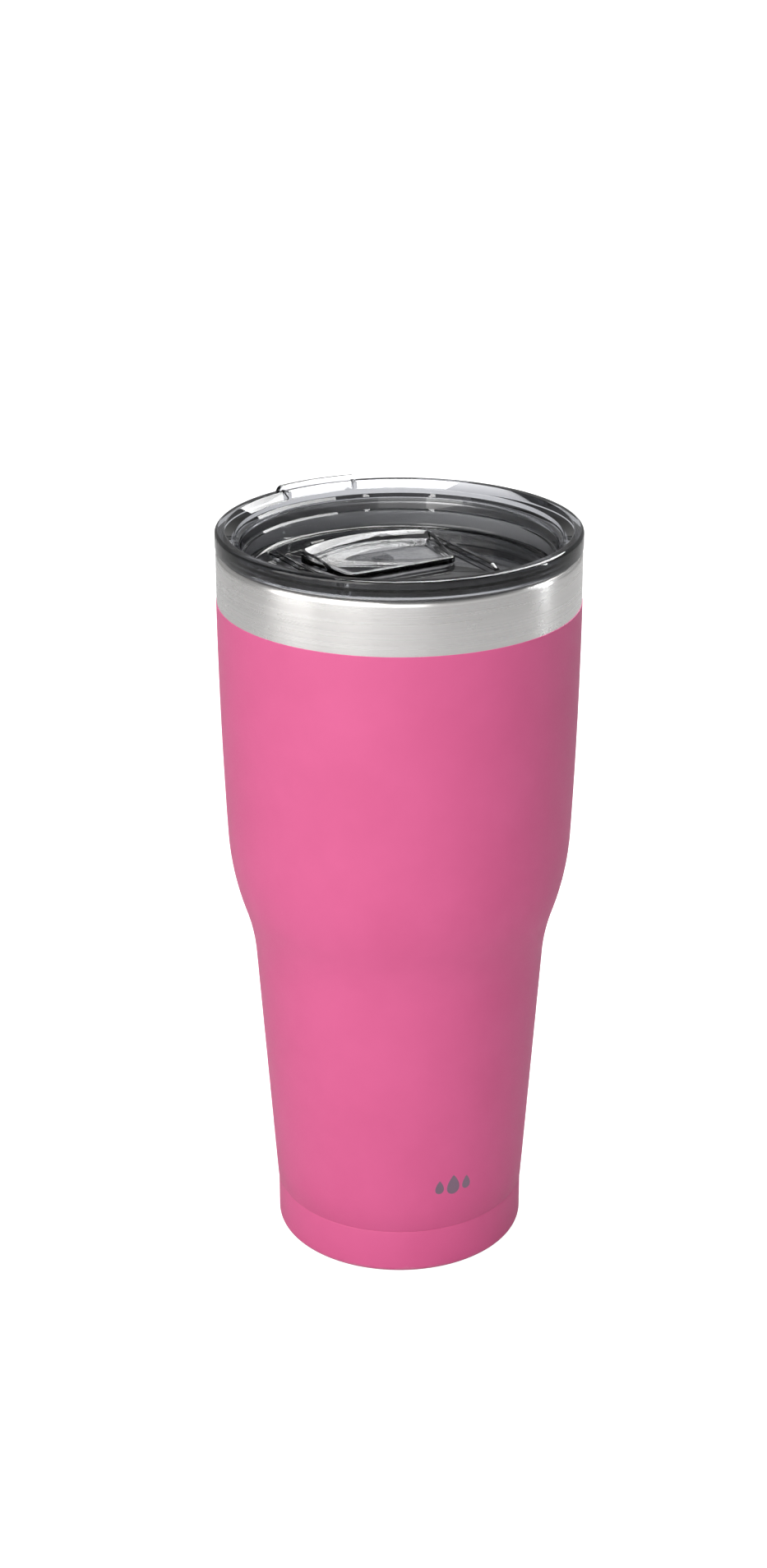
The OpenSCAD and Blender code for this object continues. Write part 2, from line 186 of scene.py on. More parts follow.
def bridgePiece(name, rings):
    # neighbouring rings are bridged two by two, and the first and last are filled
    outlines = [drawOutline(name, ring) for ring in rings]
    bands = []
    for one, two in zip(outlines, outlines[1:]):
        band = copyPiece(one)
        pick(band, copyPiece(two))
        bpy.ops.object.join()
        editAll(band)
        bpy.ops.mesh.bridge_edge_loops()
        leaveEdit()
        bands.append(band)
    for outline in (outlines[0], outlines[-1]):
        cap = copyPiece(outline)
        editAll(cap)
        bpy.ops.mesh.edge_face_add()
        leaveEdit()
        bands.append(cap)
    for outline in outlines:
        bpy.data.objects.remove(outline)
    pick(*bands)
    bpy.ops.object.join()
    piece = bands[0]
    piece.name = name
    piece.data.name = name
    tidyShell(piece)
    return piece


def combine(piece, other, how):
    pick(piece)
    change = piece.modifiers.new("combine", "BOOLEAN")
    change.operation = how
    change.solver = "EXACT"
    change.object = other
    bpy.ops.object.modifier_apply(modifier=change.name)
    bpy.data.objects.remove(other)


def settle(piece, body, slot, material, *nodes, smoothDeg=32):
    pick(piece)
    bpy.ops.object.shade_smooth_by_angle(angle=math.radians(smoothDeg))
    piece.data.materials.clear()
    piece.data.materials.append(material)
    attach(piece, body)
    if nodes:
        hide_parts(*nodes)
    print("made", piece.name, len(piece.data.polygons))


def dressNode(name, material):
    node = frame["nodes"][name]
    node.data.materials.clear()
    node.data.materials.append(material)


# ---- materials ----


def addNode(tree, kind, inputs=None, **settings):
    node = tree.nodes.new(kind)
    for name, value in settings.items():
        setattr(node, name, value)
    for name, value in (inputs or {}).items():
        if isinstance(value, bpy.types.NodeSocket):
            tree.links.new(value, node.inputs[name])
        else:
            node.inputs[name].default_value = value
    return node


def newGroup(name, inputs, outputs):
    group = bpy.data.node_groups.new(name, "ShaderNodeTree")
    for label, value in inputs.items():
        socket = group.interface.new_socket(label, in_out="INPUT", socket_type="NodeSocketFloat")
        socket.default_value = value
    for label in outputs:
        group.interface.new_socket(label, in_out="OUTPUT", socket_type="NodeSocketFloat")
    return group, group.nodes.new("NodeGroupInput"), group.nodes.new("NodeGroupOutput")


def useGroup(tree, group, **values):
    node = tree.nodes.new("ShaderNodeGroup")
    node.node_tree = group
    for name, value in values.items():
        node.inputs[name].default_value = value
    return node


def noiseAt(tree, where, scale, detail=2, roughness=0.5):
    node = addNode(tree, "ShaderNodeTexNoise", {"Vector": where, "Detail": detail, "Roughness": roughness})
    if isinstance(scale, bpy.types.NodeSocket):
        tree.links.new(scale, node.inputs["Scale"])
    else:
        node.inputs["Scale"].default_value = scale
    return node.outputs["Fac"]


def mathAt(tree, operation, one, two=0.0, clamp=False):
    node = addNode(tree, "ShaderNodeMath", {0: one, 1: two}, operation=operation, use_clamp=clamp)
    return node.outputs[0]


def spread(tree, value, fromLow, fromHigh, toLow, toHigh):
    return addNode(tree, "ShaderNodeMapRange",
                   {"Value": value, "From Min": fromLow, "From Max": fromHigh,
                    "To Min": toLow, "To Max": toHigh}).outputs["Result"]


def ownPlace(tree):
    return addNode(tree, "ShaderNodeTexCoord").outputs["Object"]


def grainGroup():
    # a fine even grain and a broad mottle, sizes in mm
    group, inlet, outlet = newGroup("fineGrain", {"GrainSize": 0.4, "MottleSize": 18}, ["Grain", "Mottle"])
    where = ownPlace(group)
    grainScale = mathAt(group, "DIVIDE", 1 / mm, inlet.outputs["GrainSize"])
    mottleScale = mathAt(group, "DIVIDE", 1 / mm, inlet.outputs["MottleSize"])
    group.links.new(noiseAt(group, where, grainScale, 3, 0.6), outlet.inputs["Grain"])
    group.links.new(noiseAt(group, where, mottleScale, 3, 0.55), outlet.inputs["Mottle"])
    return group


def brushGroup():
    # lines that run round the axis: noise squeezed along z and drawn out across x and y
    group, inlet, outlet = newGroup("brushedLines", {"LineSize": 0.12, "Length": 40}, ["Lines", "Streaks"])
    split = addNode(group, "ShaderNodeSeparateXYZ", {0: ownPlace(group)})
    along = mathAt(group, "DIVIDE", 1 / mm, inlet.outputs["Length"])
    across = mathAt(group, "DIVIDE", 1 / mm, inlet.outputs["LineSize"])
    place = addNode(group, "ShaderNodeCombineXYZ", {
        "X": mathAt(group, "MULTIPLY", split.outputs["X"], along),
        "Y": mathAt(group, "MULTIPLY", split.outputs["Y"], along),
        "Z": mathAt(group, "MULTIPLY", split.outputs["Z"], across)}).outputs[0]
    group.links.new(noiseAt(group, place, 1.0, 2, 0.5), outlet.inputs["Lines"])
    group.links.new(noiseAt(group, place, 0.16, 2, 0.5), outlet.inputs["Streaks"])
    return group


def smudgeGroup():
    # soft finger marks and thin dry wipe lines
    group, inlet, outlet = newGroup("handling", {"Size": 14, "Cover": 0.45}, ["Smudge", "Scratch"])
    where = ownPlace(group)
    scale = mathAt(group, "DIVIDE", 1 / mm, inlet.outputs["Size"])
    cloud = noiseAt(group, where, scale, 4, 0.6)
    fromLow = mathAt(group, "SUBTRACT", 1.0, inlet.outputs["Cover"])
    smudge = addNode(group, "ShaderNodeMapRange", {"Value": cloud, "From Min": fromLow, "From Max": 0.8})
    group.links.new(smudge.outputs["Result"], outlet.inputs["Smudge"])
    web = addNode(group, "ShaderNodeTexVoronoi",
                  {"Vector": where, "Scale": 55.0}, feature="DISTANCE_TO_EDGE")
    line = spread(group, web.outputs["Distance"], 0.0, 0.012, 1.0, 0.0)
    broken = spread(group, noiseAt(group, where, 160.0), 0.5, 0.62, 0.0, 1.0)
    group.links.new(mathAt(group, "MULTIPLY", line, broken), outlet.inputs["Scratch"])
    return group


def rubGroup():
    # worn band at a height, ragged at its edge, heights in mm
    group, inlet, outlet = newGroup("edgeRub", {"Height": 0, "Reach": 2}, ["Rub"])
    where = ownPlace(group)
    z = addNode(group, "ShaderNodeSeparateXYZ", {0: where}).outputs["Z"]
    away = mathAt(group, "ABSOLUTE", mathAt(group, "SUBTRACT", mathAt(group, "DIVIDE", z, mm),
                                            inlet.outputs["Height"]))
    ragged = spread(group, noiseAt(group, where, 420.0, 4, 0.65), 0.3, 0.7, 0.2, 1.2)
    reach = mathAt(group, "MULTIPLY", inlet.outputs["Reach"], ragged)
    rub = mathAt(group, "SUBTRACT", 1.0, mathAt(group, "DIVIDE", away, reach), clamp=True)
    group.links.new(rub, outlet.inputs["Rub"])
    return group


def dropGroup():
    # a plain drop etched at one place: azimuth from the front in degrees, the rest in mm
    sizes = {"Azimuth": 0, "Radius": 40, "Base": 30, "Wide": 5, "Tall": 8}
    group, inlet, outlet = newGroup("etchedDrop", sizes, ["Mask"])
    split = addNode(group, "ShaderNodeSeparateXYZ", {0: ownPlace(group)})
    backwards = mathAt(group, "MULTIPLY", split.outputs["Y"], -1.0)
    turn = mathAt(group, "ARCTAN2", split.outputs["X"], backwards)
    middle = mathAt(group, "RADIANS", inlet.outputs["Azimuth"])
    across = mathAt(group, "MULTIPLY", mathAt(group, "SUBTRACT", turn, middle), inlet.outputs["Radius"])
    up = mathAt(group, "SUBTRACT", mathAt(group, "DIVIDE", split.outputs["Z"], mm), inlet.outputs["Base"])
    share = mathAt(group, "DIVIDE", up, inlet.outputs["Tall"], clamp=True)
    # widest a third of the way up, round below and pointed above
    belly = mathAt(group, "MULTIPLY", mathAt(group, "SQRT", share), mathAt(group, "SUBTRACT", 1.0, share))
    bellyMost = 0.385
    wide = mathAt(group, "MULTIPLY", belly, inlet.outputs["Wide"])
    half = mathAt(group, "MULTIPLY", wide, 0.5 / bellyMost)
    inside = mathAt(group, "SUBTRACT", half, mathAt(group, "ABSOLUTE", across))
    group.links.new(spread(group, inside, 0.0, 0.08, 0.0, 1.0), outlet.inputs["Mask"])
    return group


fineGrain = grainGroup()
etchedDrop = dropGroup()
brushedLines = brushGroup()
handling = smudgeGroup()
edgeRub = rubGroup()


def newMaterial(name, **values):
    material = bpy.data.materials.new(name)
    material.use_nodes = True
    tree = material.node_tree
    shader = tree.nodes["Principled BSDF"]
    for label, value in values.items():
        shader.inputs[label.replace("_", " ")].default_value = value
    return material, tree, shader


def bumpInto(tree, shader, height, distance, strength=1.0):
    bump = addNode(tree, "ShaderNodeBump",
                   {"Height": height, "Distance": distance * mm, "Strength": strength})
    tree.links.new(bump.outputs["Normal"], shader.inputs["Normal"])


def mixColours(tree, share, one, two):
    mix = addNode(tree, "ShaderNodeMix", {"Factor": share}, data_type="RGBA")
    colourSockets = [s for s in mix.inputs if s.type == "RGBA"]
    for socket, value in zip(colourSockets, (one, two)):
        if isinstance(value, bpy.types.NodeSocket):
            tree.links.new(value, socket)
        else:
            socket.default_value = (*value, 1)
    return [s for s in mix.outputs if s.type == "RGBA"][0]


def powderMaterial():
    look = {"pink": (0.80, 0.135, 0.335), "deepPink": (0.74, 0.118, 0.30), "rubbed": (0.78, 0.32, 0.45),
            "roughness": (0.46, 0.58), "peel": 0.02, "etched": (0.33, 0.23, 0.31),
            # plain drops near the foot: azimuth from the front, height of the base, width, height
            "drops": [(18.0, 26.3, 2.8, 4.6), (24.5, 25.5, 4.2, 6.6), (31.0, 26.3, 2.8, 4.6)]}
    material, tree, shader = newMaterial("powderCoat", IOR=1.5, Sheen_Weight=0.04, Sheen_Roughness=0.35)
    shader.inputs["Specular IOR Level"].default_value = 0.35
    shader.inputs["Sheen Tint"].default_value = (0.9, 0.85, 0.88, 1)
    grain = useGroup(tree, fineGrain, GrainSize=0.55, MottleSize=26)
    marks = useGroup(tree, handling, Size=22, Cover=0.42)
    rub = useGroup(tree, edgeRub, Height=0.6, Reach=1.6)
    colour = mixColours(tree, spread(tree, grain.outputs["Mottle"], 0.35, 0.65, 0, 0.6),
                        look["pink"], look["deepPink"])
    colour = mixColours(tree, mathAt(tree, "MULTIPLY", rub.outputs["Rub"], 0.6), colour, look["rubbed"])
    mark = None
    for azimuth, base, wide, tall in look["drops"]:
        drop = useGroup(tree, etchedDrop, Azimuth=azimuth, Radius=39, Base=base, Wide=wide, Tall=tall)
        mark = mathAt(tree, "MAXIMUM", mark, drop.outputs["Mask"]) if mark else drop.outputs["Mask"]
    tree.links.new(mixColours(tree, mark, colour, look["etched"]), shader.inputs["Base Color"])
    tree.links.new(mathAt(tree, "MULTIPLY", mark, 0.9), shader.inputs["Metallic"])
    rough = spread(tree, grain.outputs["Grain"], 0.3, 0.7, *look["roughness"])
    rough = mathAt(tree, "SUBTRACT", rough, mathAt(tree, "MULTIPLY", marks.outputs["Smudge"], 0.05))
    rough = mathAt(tree, "SUBTRACT", rough, mathAt(tree, "MULTIPLY", mark, 0.12))
    tree.links.new(rough, shader.inputs["Roughness"])
    bumpInto(tree, shader, grain.outputs["Grain"], look["peel"], 0.6)
    return material


def steelMaterial(name, tone, roughness, lineSize, length, lineDepth, anisotropy, tint=(1, 1, 1)):
    material, tree, shader = newMaterial(name, Metallic=1.0, Anisotropic=anisotropy)
    shader.inputs["Anisotropic Rotation"].default_value = 0.25
    lines = useGroup(tree, brushedLines, LineSize=lineSize, Length=length)
    marks = useGroup(tree, handling, Size=16, Cover=0.4)
    bright = tuple(min(1, tone * c * 1.03) for c in tint)
    dull = tuple(tone * c * 0.95 for c in tint)
    colour = mixColours(tree, spread(tree, lines.outputs["Lines"], 0.3, 0.7, 0, 1), bright, dull)
    tree.links.new(colour, shader.inputs["Base Color"])
    rough = spread(tree, lines.outputs["Streaks"], 0.3, 0.7, roughness * 0.92, roughness * 1.08)
    rough = mathAt(tree, "ADD", rough, mathAt(tree, "MULTIPLY", marks.outputs["Smudge"], 0.06))
    tree.links.new(rough, shader.inputs["Roughness"])
    bumpInto(tree, shader, lines.outputs["Lines"], lineDepth, 0.5)
    return material


def clearMaterial(name, density, smoke=(0.30, 0.31, 0.34)):
    # clear plastic, darker where it is thicker
    material, tree, shader = newMaterial(name, IOR=1.5, Transmission_Weight=1.0)
    shader.inputs["Base Color"].default_value = (0.93, 0.93, 0.94, 1)
    marks = useGroup(tree, handling, Size=9, Cover=0.36)
    rough = mathAt(tree, "MULTIPLY_ADD", marks.outputs["Smudge"], 0.03)
    rough.node.inputs[2].default_value = 0.012
    rough = mathAt(tree, "ADD", rough, mathAt(tree, "MULTIPLY", marks.outputs["Scratch"], 0.03))
    tree.links.new(rough, shader.inputs["Roughness"])
    grain = useGroup(tree, fineGrain, GrainSize=6, MottleSize=14)
    bumpInto(tree, shader, grain.outputs["Mottle"], 0.02, 0.15)
    volume = addNode(tree, "ShaderNodeVolumeAbsorption", {"Color": (*smoke, 1), "Density": density})
    tree.links.new(volume.outputs[0], tree.nodes["Material Output"].inputs["Volume"])
    return material


def siliconeMaterial():
    material, tree, shader = newMaterial("silicone", IOR=1.41, Subsurface_Weight=0.25)
    shader.inputs["Subsurface Radius"].default_value = (1, 1, 1)
    shader.inputs["Subsurface Scale"].default_value = 1.5 * mm
    grain = useGroup(tree, fineGrain, GrainSize=0.3, MottleSize=9)
    marks = useGroup(tree, handling, Size=7, Cover=0.45)
    colour = mixColours(tree, grain.outputs["Mottle"], (0.60, 0.61, 0.62), (0.70, 0.71, 0.72))
    tree.links.new(colour, shader.inputs["Base Color"])
    rough = spread(tree, marks.outputs["Smudge"], 0, 1, 0.42, 0.58)
    tree.links.new(rough, shader.inputs["Roughness"])
    bumpInto(tree, shader, grain.outputs["Grain"], 0.01, 0.5)
    return material


def foilMaterial():
    material, tree, shader = newMaterial("foil", Metallic=1.0)
    where = ownPlace(tree)
    crease = addNode(tree, "ShaderNodeTexVoronoi",
                     {"Vector": where, "Scale": 210.0}, feature="DISTANCE_TO_EDGE")
    grain = useGroup(tree, fineGrain, GrainSize=1.2, MottleSize=8)
    colour = mixColours(tree, grain.outputs["Mottle"], (0.86, 0.87, 0.89), (0.78, 0.79, 0.81))
    tree.links.new(colour, shader.inputs["Base Color"])
    tree.links.new(spread(tree, grain.outputs["Grain"], 0.3, 0.7, 0.14, 0.3), shader.inputs["Roughness"])
    wrinkles = mathAt(tree, "ADD", crease.outputs["Distance"], grain.outputs["Mottle"])
    bumpInto(tree, shader, wrinkles, 0.3, 0.6)
    return material


def solderGlassMaterial():
    material, tree, shader = newMaterial("solderGlass", IOR=1.6)
    grain = useGroup(tree, fineGrain, GrainSize=0.25, MottleSize=2)
    colour = mixColours(tree, grain.outputs["Mottle"], (0.10, 0.19, 0.14), (0.17, 0.29, 0.21))
    tree.links.new(colour, shader.inputs["Base Color"])
    tree.links.new(spread(tree, grain.outputs["Grain"], 0.3, 0.7, 0.08, 0.2), shader.inputs["Roughness"])
    bumpInto(tree, shader, grain.outputs["Mottle"], 0.05, 0.5)
    return material


def getterMaterial():
    material, tree, shader = newMaterial("getterPowder", IOR=1.5)
    grain = useGroup(tree, fineGrain, GrainSize=0.18, MottleSize=1.6)
    colour = mixColours(tree, grain.outputs["Grain"], (0.035, 0.035, 0.04), (0.11, 0.11, 0.115))
    tree.links.new(colour, shader.inputs["Base Color"])
    tree.links.new(spread(tree, grain.outputs["Mottle"], 0.3, 0.7, 0.7, 0.95), shader.inputs["Roughness"])
    bumpInto(tree, shader, grain.outputs["Grain"], 0.08, 0.8)
    return material


powderCoat = powderMaterial()
brushedSteel = steelMaterial("brushedSteel", 0.86, 0.27, 0.26, 60, 0.0006, 0.55, (1.0, 0.985, 0.975))
baseSteel = steelMaterial("baseSteel", 0.62, 0.36, 0.35, 60, 0.006, 0.3)
linerSteel = steelMaterial("linerSteel", 0.66, 0.34, 0.22, 45, 0.004, 0.3)
smokyClear = clearMaterial("smokyClear", 260)
sliderClear = clearMaterial("sliderClear", 130)
silicone = siliconeMaterial()
print("materials ready")

# ---- cup ----

cup = {"coat": 0.15, "wall": 0.8, "gap": 2.45, "band": 15.3,           # thicknesses and the bare band
       "taperDeg": 3.84, "flareZ": 89.4, "hollowR": 62.6, "shoulderDeg": 18.5,
       "roundR": 83.0, "upperDeg": 2.52, "barrelR": 1635.0,             # the side's curves
       "seamZ": 14.2, "footR": 36.9, "corner": 2.0,
       "steps": 20}
cup["height"] = high("outer_shell").z
cup["baseR"] = high("base_cup").x + cup["coat"]
cup["bandZ"] = cup["height"] - cup["band"]
cup["depth"] = cup["coat"] + 2 * cup["wall"] + cup["gap"]               # coat to the inside of the liner
cup["curlR"] = (cup["depth"] - cup["coat"]) / 2


def slope(deg):
    return math.sin(math.radians(deg)), math.cos(math.radians(deg))


def sideStations():
    # radius, height and lean of the painted side, from the seam up: straight, hollow, round, barrel
    s = cup
    taperSin, taperCos = slope(s["taperDeg"])
    steepSin, steepCos = slope(s["shoulderDeg"])
    upperSin, upperCos = slope(s["upperDeg"])
    flareR = s["footR"] + taperSin / taperCos * (s["flareZ"] - s["seamZ"])
    shoulderR = flareR + s["hollowR"] * (taperCos - steepCos)
    shoulderZ = s["flareZ"] + s["hollowR"] * (steepSin - taperSin)
    upperR = shoulderR + s["roundR"] * (upperCos - steepCos)
    upperZ = shoulderZ + s["roundR"] * (steepSin - upperSin)
    curlZ = s["height"] - s["curlR"]
    stations = [(s["footR"], s["seamZ"], s["taperDeg"])]
    for i in range(1, 9):
        share = i / 9
        stations.append((s["footR"] + (flareR - s["footR"]) * share,
                         s["seamZ"] + (s["flareZ"] - s["seamZ"]) * share, s["taperDeg"]))
    for i in range(s["steps"] + 1):
        deg = s["taperDeg"] + (s["shoulderDeg"] - s["taperDeg"]) * i / s["steps"]
        leanSin, leanCos = slope(deg)
        stations.append((flareR + s["hollowR"] * (taperCos - leanCos),
                         s["flareZ"] + s["hollowR"] * (leanSin - taperSin), deg))
    for i in range(1, s["steps"] + 1):
        deg = s["shoulderDeg"] + (s["upperDeg"] - s["shoulderDeg"]) * i / s["steps"]
        leanSin, leanCos = slope(deg)
        stations.append((shoulderR + s["roundR"] * (leanCos - steepCos),
                         shoulderZ + s["roundR"] * (steepSin - leanSin), deg))
    for i in range(1, 13):
        z = upperZ + (curlZ - upperZ) * i / 12
        leanSin = upperSin - (z - upperZ) / s["barrelR"]
        leanCos = math.sqrt(1 - leanSin ** 2)
        stations.append((upperR + s["barrelR"] * (leanCos - upperCos), z, math.degrees(math.asin(leanSin))))
    return stations


side = sideStations()
rimR = side[-1][0]
curlZ = side[-1][1]


def sideLine(depth, fromZ=0.0, toZ=1000.0):
    # the side moved inwards by depth, cut off at two heights
    line = []
    for r, z, deg in side:
        leanSin, leanCos = slope(deg)
        line.append((r - depth * leanCos, z + depth * leanSin))
    cut = []
    for (r1, z1), (r2, z2) in zip(line, line[1:]):
        for edge in (fromZ, toZ):
            if z1 < edge < z2:
                cut.append((r1 + (r2 - r1) * (edge - z1) / (z2 - z1), edge))
    return sorted([p for p in line if fromZ <= p[1] <= toZ] + cut, key=lambda p: p[1])


def makeCoat():
    c = cup
    baseR = c["baseR"]
    grooveZ = c["seamZ"] - 0.4
    centre = (baseR - c["coat"] - c["corner"], c["corner"])
    outside = sideLine(0, c["seamZ"], c["bandZ"])
    inside = sideLine(c["coat"] - 0.01, c["seamZ"], c["bandZ"])
    lipR, lipZ = outside[-1]
    line = arc(*centre, c["corner"] + c["coat"], -50, 0, 8)
    line += [(baseR, grooveZ - 0.35), (baseR - 0.04, grooveZ - 0.12), (baseR - 0.11, grooveZ + 0.05)]
    line += [(c["footR"] - 0.11, c["seamZ"] - 0.02), (c["footR"] - 0.03, c["seamZ"] + 0.12)]
    line += [p for p in outside[:-1] if p[1] > c["seamZ"] + 0.2]
    line += arc(lipR - 0.1, lipZ - 0.1, 0.1, 0, 90, 4)
    line += [inside[-1]] + inside[-2:0:-1]
    line += [(c["footR"] - c["coat"], c["seamZ"]), (baseR - c["coat"] + 0.01, grooveZ)]
    line += arc(*centre, c["corner"] + 0.01, 0, -50, 8)
    coat = turnPiece("coatSkin", line)
    settle(coat, "tumbler", "powder_coat", powderCoat, "powder_coat")


def makeSide():
    c = cup
    middle = rimR - c["coat"] - c["curlR"]
    line = sideLine(c["coat"])[:-1]
    line += arc(middle, curlZ, c["curlR"], 0, 84, 10) + [(middle + 0.02, c["height"] - 0.1)]
    line += [(middle + 0.02, curlZ + c["curlR"] - c["wall"])]
    line += arc(middle, curlZ, c["curlR"] - c["wall"], 80, 0, 8)
    line += sideLine(c["coat"] + c["wall"])[-2::-1]
    steelSide = turnPiece("steelSide", line)
    settle(steelSide, "tumbler", "brushed_steel", brushedSteel, "outer_shell")


def makeLiner():
    c = cup
    weldZ = low("inner_liner").z
    middle = rimR - c["depth"] + c["curlR"]
    inside = sideLine(c["depth"], weldZ + 0.6)
    outside = sideLine(c["depth"] - c["wall"], weldZ)
    line = [(inside[0][0] + 0.25, weldZ + 0.05)] + inside[:-1]
    line += arc(middle, curlZ, c["curlR"], 180, 96, 10) + [(middle - 0.02, c["height"] - 0.1)]
    line += [(middle - 0.02, curlZ + c["curlR"] - c["wall"])]
    line += arc(middle, curlZ, c["curlR"] - c["wall"], 100, 180, 8)
    line += outside[-2::-1]
    linerTube = turnPiece("linerTube", line)
    settle(linerTube, "tumbler", "liner_steel", linerSteel, "inner_liner")


def makeLinerCap():
    c = cup
    bottom = low("liner_bottom").z
    floorZ = bottom + c["wall"]
    jointZ = high("liner_bottom").z
    corner = 8.0
    jointR = high("liner_bottom").x
    cornerR = sideLine(c["depth"], floorZ + corner)[0][0]
    dome = [(r, floorZ + 0.9 * (1 - (r / 20) ** 2)) for r in (0, 3, 6, 9, 12, 15, 17.5)]
    line = dome + [(19.5, floorZ + 0.04), (21, floorZ)]
    line += arc(cornerR - corner, floorZ + corner, corner, -90, 0, 14)
    line += [(jointR - c["wall"] + 0.02, jointZ - 0.6), (jointR - c["wall"] + 0.2, jointZ - 0.05)]
    line += [(jointR, jointZ)]
    line += arc(cornerR - corner, floorZ + corner, corner + c["wall"], 0, -90, 14)
    line += [(18, bottom), (0, bottom)]
    cap = turnPiece("linerCap", line, closed=False)
    settle(cap, "tumbler", "liner_steel", linerSteel, "liner_bottom")


def makeBase():
    c = cup
    outR = c["baseR"] - c["coat"]
    topZ = high("base_cup").z
    ringR = 29.0
    lift = 1.6
    t = c["wall"]
    under = roundCorners([(0, lift - 0.5, 0), (9, lift - 0.5, 0.8), (10.2, lift, 0.8), (24, lift, 0.5),
                          (25, lift - 0.35, 0.5), (ringR - lift, lift - 0.35, 0.6), (ringR, 0, 0.7),
                          (outR - c["corner"], 0, 0)], closed=False)
    over = roundCorners([(outR - c["corner"], t, 0), (ringR + t / 2, t, 0.7),
                         (ringR + t / 2 - lift, lift + t, 0.7), (0, lift + t, 0)], closed=False)
    line = under + arc(outR - c["corner"], c["corner"], c["corner"], -90, 0, 10)
    line += [(outR, topZ - 0.1), (outR - 0.1, topZ), (outR - t, topZ)]
    line += arc(outR - c["corner"], c["corner"], c["corner"] - t, 0, -90, 8)[:-1] + over
    base = turnPiece("baseStamping", line, closed=False)
    settle(base, "tumbler", "base_steel", baseSteel, "base_cup")


makeCoat()
makeSide()
makeLiner()
makeLinerCap()
makeBase()
dressNode("foil_wrap", foilMaterial())
dressNode("vacuum_base", baseSteel)
dressNode("seal_bead", solderGlassMaterial())
dressNode("getter_clip", baseSteel)
dressNode("getter_pellet", getterMaterial())
print("cup done")

# ---- lid ----

lid = {"edge": 1.0, "topRing": 2.7, "funnelWide": 2.8, "funnelDeep": 2.0, "shoulder": 4.2,
       "fillet": 1.6, "floor": 2.0, "plugWall": 2.5, "dish": 12.8,
       "grooveDepth": 1.2, "flangeOver": 5.0, "lipWide": 26.0, "lipHigh": 1.5, "lipThick": 1.7,
       "railU": 22.6, "railWide": 1.4, "railHigh": 1.6, "railRamp": 4.0, "railFrom": -15.0,
       "vent": (-6.0, -10.0, 1.5), "slotWide": 6.0, "chamfer": 0.35,
       "stemV": 9.4, "stemLong": 4.4, "stemPlay": 0.3,                 # the slider's stem in the slot
       "sipIn": 30.0, "sipOut": 36.4, "sipHalfDeg": 12.0}              # the drinking opening
lid["seat"] = cup["height"] + 0.1
lid["top"] = lid["seat"] + lid["flangeOver"]
lid["flangeR"] = high("lid_body").x
lid["plugR"] = high("lid_gasket").x - 1.2
lid["plugZ"] = low("lid_body").z
lid["dishR"] = lid["plugR"] - lid["plugWall"]
lid["dishZ"] = lid["top"] - lid["dish"]
lid["underZ"] = lid["dishZ"] - lid["floor"]
lid["grooveLow"] = low("lid_gasket").z
lid["grooveTop"] = high("lid_gasket").z


def lidOutline():
    # from the axis under the floor, out along the plug and flange, and back in over the dish
    d = lid
    plugR, dishR, flangeR, top = d["plugR"], d["dishR"], d["flangeR"], d["top"]
    lower = roundCorners([
        (0, d["underZ"], 0), (dishR, d["underZ"], 0.5), (dishR + 0.3, d["plugZ"], 0.3),
        (plugR - 0.6, d["plugZ"], 0.25), (plugR, d["plugZ"] + 0.6, 0.25),
        (plugR, d["grooveLow"], 0.1), (plugR - d["grooveDepth"], d["grooveLow"], 0.12),
        (plugR - d["grooveDepth"], d["grooveTop"], 0.12), (plugR, d["grooveTop"], 0.1),
        (plugR, d["seat"] - 0.8, 0.3), (plugR + 0.8, d["seat"], 0.3), (flangeR - 0.3, d["seat"], 0)],
        steps=4, closed=False)
    edge = [(flangeR - 0.05, d["seat"] + 0.2), (flangeR, d["seat"] + 0.5)]
    edge += arc(flangeR - d["edge"], top - d["edge"], d["edge"], 0, 90, 8)
    funnelR = flangeR - d["topRing"] - d["funnelWide"]
    shoulderZ = top - d["shoulder"]
    stepZ = d["grooveTop"] + 0.3
    wall = roundCorners([(flangeR - d["edge"], top, 0), (flangeR - d["topRing"], top, 0.6),
                         (funnelR, top - d["funnelDeep"], 0.5), (funnelR - 0.1, shoulderZ + 0.9, 0.4),
                         (dishR + 1.4, shoulderZ, 0.5), (dishR + 0.9, stepZ + 0.7, 0.35),
                         (dishR + 0.1, stepZ, 0.35), (dishR, d["dishZ"] + d["fillet"], 0)],
                        closed=False)[1:-1]
    floor = arc(dishR - d["fillet"], d["dishZ"] + d["fillet"], d["fillet"], 0, -90, 8)
    return lower + edge + wall + floor + [(0, d["dishZ"])]


def slotRing(halfWide, fromV, toV):
    # a slot with round ends
    return arc(0, toV - halfWide, halfWide, 0, 180, 12) + arc(0, fromV + halfWide, halfWide, 180, 360, 12)


def sipRing(more):
    # curved opening with round ends, grown by more all round
    inR, outR, halfDeg = lid["sipIn"] - more, lid["sipOut"] + more, lid["sipHalfDeg"]
    middle = (lid["sipIn"] + lid["sipOut"]) / 2
    endR = (lid["sipOut"] - lid["sipIn"]) / 2 + more
    ring = arc(0, 0, outR, 90 - halfDeg, 90 + halfDeg, 14)[1:-1]
    leftX, leftY = arc(0, 0, middle, 90 + halfDeg, 90 + halfDeg, 1)[0]
    ring += arc(leftX, leftY, endR, 90 + halfDeg, 270 + halfDeg, 12)
    ring += arc(0, 0, inR, 90 + halfDeg, 90 - halfDeg, 14)[1:-1]
    ring += arc(-leftX, leftY, endR, 270 - halfDeg, 450 - halfDeg, 12)
    return ring


def floorCutter(name, ringAt):
    # cuts through the floor and leaves a small slant at both faces
    d = lid
    slant = d["chamfer"]
    rings = [(slant, d["underZ"] - 0.4), (slant, d["underZ"]), (0, d["underZ"] + slant),
             (0, d["dishZ"] - slant), (slant, d["dishZ"]), (slant, d["dishZ"] + 0.4)]
    return bridgePiece(name, [flatRing(ringAt(more), z) for more, z in rings])


